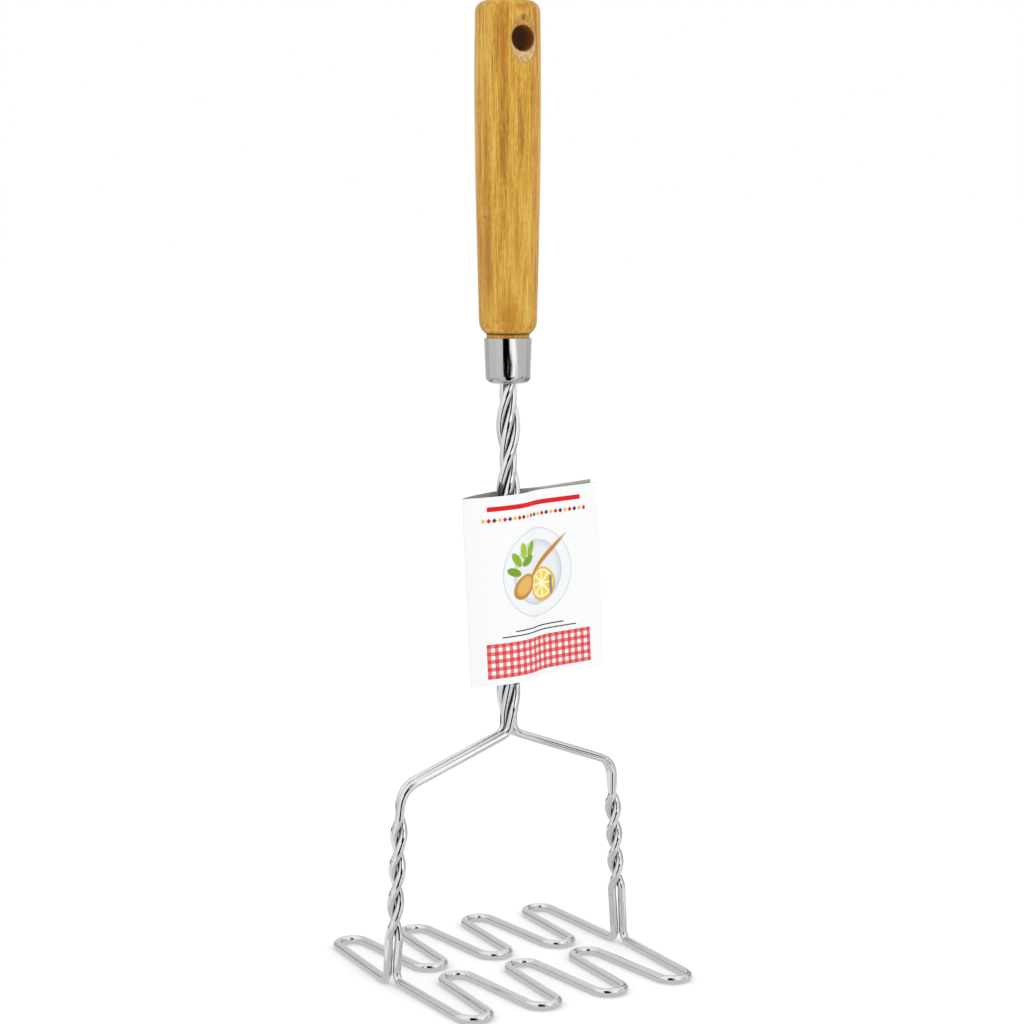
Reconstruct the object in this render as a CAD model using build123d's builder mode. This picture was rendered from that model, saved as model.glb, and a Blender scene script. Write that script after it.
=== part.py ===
from build123d import *
import os
from math import asin, atan, atan2, cos, degrees, pi, radians, sin, sqrt, tan

# Potato masher: two long wires make the grid, the legs, the arms and the twisted stem.
# Millimetres. The origin is on the table under the stem, +Z runs up the stem,
# +X from the left leg to the right leg, and the front is -Y.

os.makedirs("parts", exist_ok=True)

# Wire
wire_diameter = 2.8
wire_gap = 0.15

# Grid, which is one serpentine of each wire
turn_pitch = 25.3
turn_radius = 5.2
outer_turn_reach = 42.2
inner_turn_reach = 10.2
outer_turns = 4

# Legs and arms
foot_overhang = 1.55
leg_inset = 3.9
shoulder_height = 65.2
arm_rise = 15.2
foot_bend = 3.0
crotch_bend = 4.0
left_shoulder_bend = 9.0
left_twist_foot = 15.9
left_twist_drop = 9.6
right_shoulder_bend = 6.5
right_twist_foot = 20.1
right_twist_drop = 11.6

# Stem
stem_half_turn = 22.16
stem_lead = 6.25
stem_bare_length = 116.3
stem_socket_depth = 27.9

# Handle, from its base up to its waist, its grip and its top
handle_foot_radius = 9.4
waist_rise = 31.3
handle_waist_radius = 10.2
grip_rise = 43.6
handle_grip_radius = 10.83
crown_rise = 33.0
handle_crown_radius = 10.5
handle_base_rounding = 5.0
handle_crown_rounding = 3.5
hanging_hole_diameter = 8.0
hanging_hole_drop = 12.5
hanging_hole_rim_radius = 7.7
hanging_hole_flare = 140.0
bore_clearance = 0.2
bore_spare_depth = 2.0

# Ferrule
ferrule_height = 14.8
ferrule_mouth_radius = 7.9
ferrule_floor_radius = 7.35
ferrule_corner_radius = 2.3
ferrule_wall = 0.7
ferrule_clearance = 0.15
tenon_floor_gap = 0.4
tenon_neck = 0.6

# Paper tag, drawn flat round the stem and then leaned over
card_height = 63.0
card_fold_reach = 16.3
card_front_reach = 36.8
card_back_reach = 34.8
card_back_rise = 1.2
card_thickness = 0.35
card_layer_gap = 0.1
card_fold_radius = 0.5
card_crest_shift = 0.5
card_centre_rise = 48.3
card_lean = 2.8
card_swing = 2.1
sleeve_clearance = 0.5

# Staple
staple_wire = 0.6
staple_crown = 5.8
staple_reach = 16.5
staple_drop = 0.8
staple_clinch = 2.0
staple_bend = 0.5
staple_clearance = 0.1

# One length by which every cut runs past the solid
overrun = 1.0

# Corners in one turn of a strand of the stem, steps in the twist of a leg, and the easing of each
strand_corners = 6
leg_steps = 11
ease_share = 0.45

# Worked out from the sizes above
wire_radius = wire_diameter / 2
strand_spacing = wire_diameter + wire_gap
pair_radius = strand_spacing / 2
cross_pair_radius = pair_radius * sqrt(3)
stem_radius = cross_pair_radius + wire_radius
strand_step = 360 / strand_corners
corner_stretch = 1 / cos(radians(strand_step / 2))
foot_reach = (outer_turns - 1) * turn_pitch / 2 + turn_radius + foot_overhang
shoulder_reach = foot_reach - leg_inset
leg_twist = 2 * 360 - 90
leg_step = leg_twist / leg_steps
leg_stretch = 1 / cos(radians(leg_step / 2))
left_leg = (left_shoulder_bend, left_twist_foot, shoulder_height - left_twist_drop)
right_leg = (right_shoulder_bend, right_twist_foot, shoulder_height - right_twist_drop)

# Heights above the table
crotch_height = shoulder_height + arm_rise
stem_twist_start = crotch_height + stem_lead
card_centre_height = crotch_height + card_centre_rise
ferrule_base = crotch_height + stem_bare_length
ferrule_top = ferrule_base + ferrule_height
handle_base = ferrule_top + tenon_neck
handle_waist_height = handle_base + waist_rise
handle_grip_height = handle_waist_height + grip_rise
handle_top = handle_grip_height + crown_rise
hanging_hole_height = handle_top - hanging_hole_drop
stem_top = handle_base + stem_socket_depth


def around(radius, angle, height):
    """A point at this radius and angle round the stem's axis."""
    return Vector(radius * cos(radians(angle)), radius * sin(radians(angle)), height)


def leg_centre(side, height):
    """The middle of a leg's two wires at a height. Side is -1 for left and 1 for right."""
    climb_share = (height - wire_radius) / (shoulder_height - wire_radius)
    return Vector(side * (foot_reach - leg_inset * climb_share), 0, height)


def stem_strand(radius, start_angle):
    """Corners of one strand of the stem from its top down, as (point, bend)."""
    step_height = stem_half_turn * strand_step / 180
    steps = int((stem_top - stem_twist_start) / step_height)
    climb = stem_top - stem_twist_start
    end_angle = start_angle + 180 * climb / stem_half_turn
    corners = [(around(radius, end_angle, stem_top), None)]
    for step in range(steps, -1, -1):
        angle = start_angle + step * strand_step
        height = stem_twist_start + step * step_height
        corners.append((around(radius * corner_stretch, angle, height), None))
    return corners


def leg_strand(side, leg):
    """Corners of one wire down a leg, from the shoulder in front, round the leg, to the foot."""
    shoulder_bend, twist_foot, twist_top = leg
    foot_angle = -strand_step / 2
    shoulder = leg_centre(side, shoulder_height) - Vector(0, pair_radius)
    corners = [(shoulder, shoulder_bend)]
    for step in range(leg_steps, -1, -1):
        height = twist_foot + (twist_top - twist_foot) * step / leg_steps
        offset = around(pair_radius * leg_stretch, foot_angle + step * leg_step, 0)
        corners.append((leg_centre(side, height) + offset, None))
    foot = leg_centre(side, wire_radius) + around(pair_radius, foot_angle, 0)
    return corners + [(foot, foot_bend)]


def run_ends(start, end):
    """Ends of the straight run between two turns, each a centre and a signed radius."""
    (start_centre, start_radius), (end_centre, end_radius) = start, end
    reach = end_centre - start_centre
    heading = atan2(reach.Y, reach.X) - asin((end_radius - start_radius) / reach.length)
    normal = Vector(-sin(heading), cos(heading))
    return start_centre - normal * start_radius, end_centre - normal * end_radius


def rounded_path(corners, end):
    """Draw straight runs through the corners to an end, with an arc at each corner."""
    points = [point for point, bend in corners] + [end]
    radii = []
    for before, (point, bend), after in zip(points, corners[1:], points[2:]):
        turn = (point - before).get_angle(after - point)
        shorter = min((point - before).length, (after - point).length)
        radii.append(bend or ease_share * shorter / tan(radians(turn / 2)))
    FilletPolyline(*(tuple(point) for point in points), radius=radii)


def draw_wire(left, right):
    """The whole route of one wire, from its end in the handle and back to the other end."""
    arm_slope = arm_rise / shoulder_reach
    corners = {}
    for side, leg, radius, start_angle in (
        (-1, left, cross_pair_radius, 270),
        (1, right, pair_radius, 360),
    ):
        crotch = around(radius, start_angle - strand_step / 2, 0)
        crotch += Vector(0, 0, crotch_height - abs(crotch.X) * arm_slope)
        strand = stem_strand(radius, start_angle)
        corners[side] = strand + [(crotch, crotch_bend)] + leg_strand(side, leg)

    # The turns of the grid: outer ones run anticlockwise, inner ones clockwise
    turns = [(corners[-1][-1][0], 0)]
    for step in range(2 * outer_turns - 1):
        across = (step - (outer_turns - 1)) * turn_pitch / 2
        if step % 2 == 0:
            turns.append((Vector(across, -outer_turn_reach, wire_radius), turn_radius))
        else:
            turns.append((Vector(across, -inner_turn_reach, wire_radius), -turn_radius))
    turns.append((corners[1][-1][0], 0))
    runs = [run_ends(start, end) for start, end in zip(turns, turns[1:])]

    rounded_path(corners[-1], runs[0][1])
    for (centre, radius), arriving, leaving in zip(turns[1:], runs, runs[1:]):
        middle = centre - Vector(0, radius)
        ThreePointArc(*(tuple(point) for point in (arriving[1], middle, leaving[0])))
        if leaving is not runs[-1]:
            Line(*(tuple(point) for point in leaving))
    rounded_path(corners[1], runs[-1][0])


def section_at_start(route):
    """The plane square to a route at its first point."""
    wire = route.wires()[0]
    return Plane(origin=wire @ 0, z_dir=wire % 0)


# The front wire: the front half of the grid, and one strand of each leg, arm and half stem
with BuildPart() as front_wire:
    with BuildLine() as front_route:
        draw_wire(left_leg, right_leg)
    with BuildSketch(section_at_start(front_route)):
        Circle(wire_radius)
    sweep(path=front_route.wires()[0])
front_wire.part.label = "front_wire"
export_step(front_wire.part, "parts/front_wire.step")

# The back wire: the same route turned half round the stem
with BuildPart() as back_wire:
    with BuildLine(Plane(origin=(0, 0, 0), x_dir=(-1, 0, 0), z_dir=(0, 0, 1))) as back_route:
        draw_wire(right_leg, left_leg)
    with BuildSketch(section_at_start(back_route)):
        Circle(wire_radius)
    sweep(path=back_route.wires()[0])
back_wire.part.label = "back_wire"
export_step(back_wire.part, "parts/back_wire.step")

# Ferrule: a drawn cup with a slight taper, and a hole in its floor for the stem
with BuildPart() as ferrule:
    with BuildSketch(Plane.XZ):
        Polygon(
            (0, ferrule_base),
            (ferrule_floor_radius, ferrule_base),
            (ferrule_mouth_radius, ferrule_top),
            (0, ferrule_top),
            align=None,
        )
    revolve(axis=Axis.Z)
    fillet(ferrule.edges().group_by(Axis.Z)[0], ferrule_corner_radius)
    offset(amount=-ferrule_wall, openings=ferrule.faces().sort_by(Axis.Z)[-1])
    with Locations((0, 0, ferrule_base)):
        Hole(stem_radius + bore_clearance)
ferrule.part.label = "ferrule"
export_step(ferrule.part, "parts/ferrule.step")

# Handle: the turned grip, the tenon in the ferrule, the stem's bore and the hanging hole
tenon_taper = (ferrule_mouth_radius - ferrule_floor_radius) / ferrule_height
tenon_inset = ferrule_wall + ferrule_clearance
tenon_base = ferrule_base + ferrule_wall + tenon_floor_gap
tenon_top = handle_base + handle_base_rounding
hole_radius = hanging_hole_diameter / 2
flare_depth = (hanging_hole_rim_radius - hole_radius) / tan(radians(hanging_hole_flare / 2))


def tenon_radius(height):
    """The tenon follows the inside of the ferrule."""
    return ferrule_floor_radius - tenon_inset + tenon_taper * (height - ferrule_base)


with BuildPart() as handle:
    with BuildSketch(Plane.XZ):
        with BuildLine():
            Spline(
                (handle_foot_radius, handle_base),
                (handle_waist_radius, handle_waist_height),
                (handle_grip_radius, handle_grip_height),
                (handle_crown_radius, handle_top),
            )
            Polyline(
                (handle_foot_radius, handle_base),
                (0, handle_base),
                (0, handle_top),
                (handle_crown_radius, handle_top),
            )
        make_face()
    revolve(axis=Axis.Z)
    fillet(handle.edges().group_by(Axis.Z)[0], handle_base_rounding)
    fillet(handle.edges().group_by(Axis.Z)[-1], handle_crown_rounding)
    with BuildSketch(Plane.XZ) as tenon_outline:
        Polygon(
            (0, tenon_base),
            (tenon_radius(tenon_base), tenon_base),
            (tenon_radius(tenon_top), tenon_top),
            (0, tenon_top),
            align=None,
        )
    revolve(axis=Axis.Z)
    fillet(handle.edges().group_by(Axis.Z)[0], ferrule_corner_radius)
    with Locations(Plane((0, 0, tenon_base), z_dir=(0, 0, -1))):
        Hole(stem_radius + bore_clearance, depth=stem_top + bore_spare_depth - tenon_base)
    for facing in (-1, 1):
        with BuildSketch(Plane((0, 0, hanging_hole_height), x_dir=(1, 0, 0), z_dir=(0, facing, 0))):
            Circle(hole_radius)
        extrude(amount=handle_grip_radius + overrun, mode=Mode.SUBTRACT)
        with BuildSketch(Plane((0, 0, hanging_hole_height), x_dir=(0, facing, 0), z_dir=(-1, 0, 0))):
            Polygon(
                (0, 0),
                (handle_grip_radius - flare_depth, 0),
                (handle_grip_radius - flare_depth, hole_radius),
                (handle_grip_radius, hanging_hole_rim_radius),
                (handle_grip_radius + overrun, hanging_hole_rim_radius),
                (handle_grip_radius + overrun, 0),
                align=None,
            )
        revolve(axis=Axis((0, 0, hanging_hole_height), (0, 1, 0)), mode=Mode.SUBTRACT)
handle.part.label = "handle"
export_step(handle.part, "parts/handle.step")

# Tag: one folded card, drawn in its own leaned plane as the line of its inner face
lean, swing = radians(card_lean), radians(card_swing)
card_across = Vector(cos(lean) * cos(swing), cos(lean) * sin(swing), sin(lean))
card_up = Vector(-sin(lean) * cos(swing), -sin(lean) * sin(swing), cos(lean))
card_centre = Vector(0, 0, card_centre_height)
card_plan = Plane(origin=card_centre, x_dir=card_across, z_dir=card_up)
card_face = Plane(origin=card_centre, x_dir=card_across, z_dir=card_across.cross(card_up))

sleeve_radius = stem_radius + sleeve_clearance
sleeve_drift = sleeve_radius * (1 / cos(lean) - 1)
crest = sleeve_radius + sleeve_drift
half_layer_gap = card_layer_gap / 2
taper_run = staple_reach - card_crest_shift
taper_fall = crest - half_layer_gap
taper_radius = (taper_run**2 + taper_fall**2) / (4 * taper_fall)
taper_turn = degrees(2 * atan(taper_fall / taper_run))
fold_run = card_fold_reach - card_thickness + card_crest_shift - card_fold_radius
fold_rise = crest - card_fold_radius
side_radius = card_fold_radius + (fold_run**2 + fold_rise**2) / (2 * fold_rise)
side_turn = degrees(2 * atan(fold_rise / fold_run))


def draw_card_face(out):
    """One face of the folded card in plan, this far outside its inner face."""
    layer = half_layer_gap + out
    front = Line((card_front_reach, -layer), (staple_reach, -layer))
    leave = JernArc(front @ 1, front % 1, taper_radius - out, taper_turn)
    level = JernArc(leave @ 1, leave % 1, taper_radius + out, -taper_turn)
    side = JernArc(level @ 1, level % 1, side_radius + out, -side_turn)
    fold = JernArc(side @ 1, side % 1, card_fold_radius + out, 2 * side_turn - 180)
    rear = JernArc(fold @ 1, fold % 1, side_radius + out, -side_turn)
    dip = JernArc(rear @ 1, rear % 1, taper_radius + out, -taper_turn)
    meet = JernArc(dip @ 1, dip % 1, taper_radius - out, taper_turn)
    back = Line(meet @ 1, (card_front_reach, layer))
    return front @ 0, back @ 1


# The outlines of the front and back panels, which trim the card to its cut edges
card_depth = crest + card_thickness + overrun
half_height = card_height / 2
with BuildPart() as card_outlines:
    with BuildSketch(card_face):
        Polygon(
            (-card_fold_reach - overrun, -half_height),
            (card_front_reach, -half_height),
            (card_front_reach, half_height),
            (-card_fold_reach - overrun, half_height),
            align=None,
        )
    extrude(amount=card_depth)
    with BuildSketch(card_face):
        Polygon(
            (-card_fold_reach - overrun, -half_height),
            (-card_fold_reach, -half_height),
            (card_back_reach, card_back_rise - half_height),
            (card_back_reach, card_back_rise + half_height),
            (-card_fold_reach, half_height),
            (-card_fold_reach - overrun, half_height),
            align=None,
        )
    extrude(amount=-card_depth)

with BuildPart() as label_card:
    with BuildSketch(card_plan.offset(-half_height - overrun)):
        with BuildLine():
            inner_ends = draw_card_face(0)
            outer_ends = draw_card_face(card_thickness)
            for inner_end, outer_end in zip(inner_ends, outer_ends):
                Line(inner_end, outer_end)
        make_face()
    extrude(amount=card_height + card_back_rise + 2 * overrun)
    add(card_outlines.part, mode=Mode.INTERSECT)
    with BuildSketch(card_face):
        with Locations((staple_reach, -staple_drop)):
            with GridLocations(0, staple_crown, 1, 2):
                Circle(staple_wire / 2 + staple_clearance)
    extrude(amount=card_depth, both=True, mode=Mode.SUBTRACT)
label_card.part.label = "label_card"
export_step(label_card.part, "parts/label_card.step")

# Staple: its crown lies on the front panel and its ends are clinched behind
crown_depth = half_layer_gap + card_thickness + staple_clearance + staple_wire / 2
staple_side = Plane(
    origin=card_centre + card_across * staple_reach - card_up * staple_drop,
    x_dir=card_across.cross(card_up),
    z_dir=-card_across,
)
with BuildPart() as label_staple:
    with BuildLine(staple_side):
        FilletPolyline(
            (-crown_depth, staple_clinch - staple_crown / 2),
            (-crown_depth, -staple_crown / 2),
            (crown_depth, -staple_crown / 2),
            (crown_depth, staple_crown / 2),
            (-crown_depth, staple_crown / 2),
            (-crown_depth, staple_crown / 2 - staple_clinch),
            radius=staple_bend,
        )
    staple_line = label_staple.pending_edges_as_wire
    with BuildSketch(Plane(origin=staple_line @ 0, z_dir=staple_line % 0)):
        Circle(staple_wire / 2)
    sweep(path=staple_line)
label_staple.part.label = "label_staple"
export_step(label_staple.part, "parts/label_staple.step")

for name, wire, route in (("front", front_wire, front_route), ("back", back_wire, back_route)):
    length = route.wires()[0].length
    print(name, "wire length", round(length, 1), "volume", round(wire.part.volume, 1),
          "section x length", round(pi * wire_radius**2 * length, 1))
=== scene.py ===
# %% [markdown]
# # A potato masher, from a solid model to a picture
# The masher is a turned wooden handle, a drawn metal ferrule and two long wires that make the
# twisted stem, the legs and the grid. A folded paper tag hangs on the stem. The solid model
# already holds the sizes and what moves, so this lesson only gives the pieces their looks.
# Everything is in metres in the model's own frame: +Z runs up the stem and the front is -Y.

# %% Load the solid model
import math

import bmesh
import bpy
import numpy as np
from mathutils import Matrix, Vector
from mathutils.kdtree import KDTree


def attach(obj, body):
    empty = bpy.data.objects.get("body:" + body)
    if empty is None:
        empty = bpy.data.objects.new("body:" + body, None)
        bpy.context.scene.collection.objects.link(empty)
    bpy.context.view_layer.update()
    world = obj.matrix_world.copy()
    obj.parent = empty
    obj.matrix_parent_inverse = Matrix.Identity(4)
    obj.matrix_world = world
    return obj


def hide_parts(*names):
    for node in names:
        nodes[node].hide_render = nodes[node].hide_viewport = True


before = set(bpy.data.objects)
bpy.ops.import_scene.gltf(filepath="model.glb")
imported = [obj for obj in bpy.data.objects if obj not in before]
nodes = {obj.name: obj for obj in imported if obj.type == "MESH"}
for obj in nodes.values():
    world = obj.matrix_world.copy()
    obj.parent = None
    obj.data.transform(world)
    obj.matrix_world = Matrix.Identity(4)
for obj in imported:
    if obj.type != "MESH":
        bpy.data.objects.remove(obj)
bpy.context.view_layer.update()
MM = 0.001
print("pieces in the solid model:", ", ".join(sorted(nodes)))

# %% [markdown]
# ## Camera
# The picture was taken from the left of the masher and from a little above, with a long lens
# that keeps the legs nearly upright. The camera comes first, so that each piece can be
# compared with the picture as soon as it is made.

# %% Place the camera
camera_place = Vector((-375.77, -637.50, 239.49)) * MM
turn_right, look_down, roll = (math.radians(angle) for angle in (30.613, 6.594, -0.065))
camera_data = bpy.data.cameras.new("photo_camera")
camera_data.lens = 79.05
camera_data.sensor_width = 36.0
camera = bpy.data.objects.new("photo_camera", camera_data)
bpy.context.scene.collection.objects.link(camera)
aim = Matrix.Rotation(-turn_right, 4, "Z") @ Matrix.Rotation(math.pi / 2 - look_down, 4, "X")
camera.matrix_world = Matrix.Translation(camera_place) @ aim @ Matrix.Rotation(roll, 4, "Z")
bpy.context.scene.camera = camera
print("the camera stands", round(camera_place.length, 3), "m from the foot of the stem")

# %% [markdown]
# ## Two helpers for materials
# Paint charts and photographs give colours as sRGB hex values, but a shader works in linear
# light, so one function turns each colour over. The other adds a node, sets it and wires it
# in a single call, which keeps each material short enough to read from top to bottom.

# %% Colours and nodes
def colour(hex_value):
    """An sRGB hex value, such as D9AE5F, as linear red, green, blue and alpha."""
    parts = [int(hex_value[i:i + 2], 16) / 255 for i in (0, 2, 4)]
    return [p / 12.92 if p <= 0.04045 else ((p + 0.055) / 1.055) ** 2.4 for p in parts] + [1.0]


def add_node(tree, kind, inputs=None, **settings):
    """Add a node, set its properties, and give each input named or numbered a value or a link."""
    node = tree.nodes.new(kind)
    for name, value in settings.items():
        setattr(node, name, value)
    for name, value in (inputs or {}).items():
        if isinstance(value, bpy.types.NodeSocket):
            tree.links.new(value, node.inputs[name])
        else:
            node.inputs[name].default_value = value
    return node


def new_material(name):
    """An empty material with nodes turned on and none in it, ready for nodes."""
    material = bpy.data.materials.new(name)
    material.use_nodes = True
    material.node_tree.nodes.clear()
    return material, material.node_tree


print("honey", [round(c, 3) for c in colour("D9AE5F")])

# %% [markdown]
# ## Bright drawn wire
# The wire is steel, drawn through a die and then plated with chrome. Plating gives a mirror
# that is nearly white, and the die leaves faint lines along the wire. A pattern along a bent
# wire can't use plain object coordinates, so the wire will carry its own: one number for the
# length along it and two for the place on its round section. It also carries its gap to the
# next strand: where two strands nearly touch, the colour turns near black as painted shade of
# the nip and the finish is duller, and that dark line is what makes a twist read as a twist.

# %% Chrome-plated drawn wire
wire_diameter = 2.8 * MM
die_line = 0.25 * MM
die_line_length = 14 * MM
# Gaps in millimetres: where the painted shade of the nip starts, and where the strands touch
painted_shade_start_gap, touching = 0.75, 0.12

chrome_wire, tree = new_material("chrome_plated_drawn_wire")
place = add_node(tree, "ShaderNodeAttribute", attribute_name="wire_place")
stretch = add_node(tree, "ShaderNodeMapping", {
    "Vector": place.outputs["Vector"],
    "Scale": (1 / die_line_length, 1 / die_line, 1 / die_line),
})
lines = add_node(tree, "ShaderNodeTexNoise", {
    "Vector": stretch.outputs["Vector"], "Scale": 1.0, "Detail": 3.0,
})
haze = add_node(tree, "ShaderNodeMapRange", {
    "Value": lines.outputs["Fac"], "From Min": 0.35, "From Max": 0.75, "To Min": 0.025, "To Max": 0.08,
})
gap = add_node(tree, "ShaderNodeAttribute", attribute_name="strand_gap")
painted_nip_shade = add_node(tree, "ShaderNodeMapRange", {
    "Value": gap.outputs["Fac"], "From Min": painted_shade_start_gap, "From Max": touching,
}, interpolation_type="SMOOTHSTEP")
# Painted shade: the chrome's colour turns near black where two strands nearly touch, for the shade in the
# nip
chrome_with_painted_shade = add_node(tree, "ShaderNodeMix", {
    0: painted_nip_shade.outputs["Result"], 6: colour("DEE0E0"), 7: colour("2A2B2C"),
}, data_type="RGBA")
dullness = add_node(tree, "ShaderNodeMath", {
    0: painted_nip_shade.outputs["Result"], 1: 0.25, 2: haze.outputs["Result"],
}, operation="MULTIPLY_ADD")
relief = add_node(tree, "ShaderNodeBump", {
    "Height": lines.outputs["Fac"], "Strength": 0.03, "Distance": 0.02 * MM,
})
metal = add_node(tree, "ShaderNodeBsdfPrincipled", {
    "Base Color": chrome_with_painted_shade.outputs[2], "Metallic": 1.0,
    "Roughness": dullness.outputs[0], "Normal": relief.outputs["Normal"],
})
add_node(tree, "ShaderNodeOutputMaterial", {"Surface": metal.outputs["BSDF"]})
print("die lines", round(wire_diameter * math.pi / die_line), "round the wire")

# %% [markdown]
# ## The route of a wire
# Each wire runs down the stem, along an arm, down a leg, to and fro through its half of the
# grid, and back up the other side. The sizes are those of the solid model. Twisted stretches
# are helices, so their points come from a formula, and bends are arcs between straight runs.

# %% Sizes of the wires, in millimetres
wire_radius = 1.4
strand_spacing = 2.95
turn_pitch, turn_radius, outer_turns = 25.3, 5.2, 4
outer_turn_reach, inner_turn_reach = 42.2, 10.2
foot_overhang, leg_inset = 1.55, 3.9
shoulder_height, arm_rise = 65.2, 15.2
foot_bend, crotch_bend = 3.0, 4.0
stem_half_turn, stem_lead, stem_top = 22.16, 6.25, 240.0
stem_step = 60
leg_twist, leg_steps = 630, 11

# How finely the wires are drawn: sides round them, and points on each smooth stretch
wire_sides, stem_points, leg_points, turn_points = 28, 130, 70, 36

# For each leg: the bend of its shoulder, and the heights of its twist's foot and top
left_leg, right_leg = (9.0, 15.9, 55.6), (6.5, 20.1, 53.6)

pair_radius = strand_spacing / 2
cross_pair_radius = pair_radius * math.sqrt(3)
stem_stretch = 1 / math.cos(math.radians(stem_step / 2))
leg_stretch = 1 / math.cos(math.radians(leg_twist / leg_steps / 2))
foot_reach = (outer_turns - 1) * turn_pitch / 2 + turn_radius + foot_overhang
crotch_height = shoulder_height + arm_rise
stem_twist_start = crotch_height + stem_lead
print("each foot stands", round(foot_reach, 2), "mm from the stem's axis")


# %% Points on the stem, the arms and the legs
def around(radius, angle, height):
    """A point at this radius and angle in degrees round the stem's axis."""
    turn = math.radians(angle)
    return Vector((radius * math.cos(turn), radius * math.sin(turn), height))


def leg_centre(side, height):
    """The middle of a leg's two strands at this height. Side is -1 for left, 1 for right."""
    climb = (height - wire_radius) / (shoulder_height - wire_radius)
    return Vector((side * (foot_reach - leg_inset * climb), 0, height))


def helix(radius, angles, first_angle, first_height, rise_per_degree):
    """Smooth points of a twisted strand at these angles."""
    return [(around(radius, a, first_height + (a - first_angle) * rise_per_degree), 0) for a in angles]


def stem_strand(radius, start_angle):
    """One strand of the stem from its top down, as points with bend radii."""
    rise = stem_half_turn / 180
    end_angle = start_angle + (stem_top - stem_twist_start) / rise
    angles = np.linspace(end_angle, start_angle + stem_step / 2, stem_points)
    last_corner = around(radius * stem_stretch, start_angle, stem_twist_start)
    return helix(radius, angles, start_angle, stem_twist_start, rise) + [(last_corner, None)]


def leg_strand(side, leg):
    """One strand down a leg: round the shoulder, straight, then twisted, then to the foot."""
    shoulder_bend, twist_foot, twist_top = leg
    foot_angle, half_step = -stem_step / 2, leg_twist / leg_steps / 2
    rise = (twist_top - twist_foot) / leg_twist
    shoulder = leg_centre(side, shoulder_height) - Vector((0, pair_radius, 0))
    top = leg_centre(side, twist_top) + around(pair_radius * leg_stretch, foot_angle + leg_twist, 0)
    strand = [(shoulder, shoulder_bend), (top, None)]
    for angle in np.linspace(leg_twist - half_step, half_step, leg_points):
        height = twist_foot + angle * rise
        strand.append((leg_centre(side, height) + around(pair_radius, foot_angle + angle, 0), 0))
    corner = leg_centre(side, twist_foot) + around(pair_radius * leg_stretch, foot_angle, 0)
    foot = leg_centre(side, wire_radius) + around(pair_radius, foot_angle, 0)
    return strand + [(corner, None), (foot, foot_bend)]


print("a strand of the stem has", len(stem_strand(pair_radius, 0)), "points")


# %% Bends and turns
# A corner without a radius takes this share of its shorter run, and arcs step by 6 degrees
bend_share, arc_step = 0.45, 6


def rounded(corners, end):
    """Points along straight runs with an arc at each corner that has a bend radius."""
    path = [corners[0][0]]
    points = [point for point, bend in corners] + [end]
    for before, (point, bend), after in zip(points, corners[1:], points[2:]):
        into, out_of = (point - before).normalized(), (after - point).normalized()
        turn = into.angle(out_of)
        if bend == 0 or turn < 1e-4:
            path.append(point)
            continue
        shorter = min((point - before).length, (after - point).length)
        radius = bend or bend_share * shorter / math.tan(turn / 2)
        inward = (out_of - into * math.cos(turn)).normalized()
        start = point - into * radius * math.tan(turn / 2)
        for step in np.linspace(0, turn, max(3, round(math.degrees(turn) / arc_step))):
            path.append(start + inward * radius * (1 - math.cos(step)) + into * radius * math.sin(step))
    return path


def run_ends(start, end):
    """Ends of the straight run between two turns, each a centre and a signed radius."""
    (start_centre, start_radius), (end_centre, end_radius) = start, end
    reach = end_centre - start_centre
    heading = math.atan2(reach.y, reach.x) - math.asin((end_radius - start_radius) / reach.length)
    normal = Vector((-math.sin(heading), math.cos(heading), 0))
    return start_centre - normal * start_radius, end_centre - normal * end_radius


def turn_arc(centre, radius, start, end):
    """Points round one turn of the grid. A positive radius runs anticlockwise."""
    first = math.atan2(start.y - centre.y, start.x - centre.x)
    last = math.atan2(end.y - centre.y, end.x - centre.x)
    sweep = (last - first) % (2 * math.pi) if radius > 0 else -((first - last) % (2 * math.pi))
    steps = np.linspace(first, first + sweep, turn_points)
    return [centre + Vector((math.cos(a), math.sin(a), 0)) * abs(radius) for a in steps]


# %% The whole route of one wire
def wire_route(left, right):
    """Points of one wire from its end in the handle, through the grid, to its other end."""
    shoulder_reach = foot_reach - leg_inset
    corners = {}
    halves = ((-1, left, cross_pair_radius, 270), (1, right, pair_radius, 360))
    for side, leg, radius, start_angle in halves:
        crotch = around(radius, start_angle - stem_step / 2, crotch_height)
        crotch.z -= abs(crotch.x) * arm_rise / shoulder_reach
        corners[side] = stem_strand(radius, start_angle) + [(crotch, crotch_bend)] + leg_strand(side, leg)

    turns = [(corners[-1][-1][0], 0)]
    for step in range(2 * outer_turns - 1):
        across = (step - (outer_turns - 1)) * turn_pitch / 2
        outer = step % 2 == 0
        reach = outer_turn_reach if outer else inner_turn_reach
        turns.append((Vector((across, -reach, wire_radius)), turn_radius if outer else -turn_radius))
    turns.append((corners[1][-1][0], 0))
    runs = [run_ends(start, end) for start, end in zip(turns, turns[1:])]

    route = rounded(corners[-1], runs[0][1])
    for (centre, radius), arriving, leaving in zip(turns[1:], runs, runs[1:]):
        route += turn_arc(centre, radius, arriving[1], leaving[0])
    return route + rounded(corners[1], runs[-1][0])[::-1]


routes = {"front_wire": wire_route(left_leg, right_leg)}
half_turn = Matrix.Rotation(math.pi, 3, "Z")
routes["back_wire"] = [half_turn @ point for point in wire_route(right_leg, left_leg)]
for name, route in routes.items():
    length = sum((b - a).length for a, b in zip(route, route[1:]))
    print(name, "is", round(length), "mm long, from", len(route), "points")

# %% [markdown]
# ## A round section along a route
# A wire is a circle carried along a line, which is what Curve to Mesh does in Geometry Nodes.
# The tree also stores where each point lies on the wire, for the die lines. The first and
# last points of a route would leave open ends, so the ends are capped.

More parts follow.
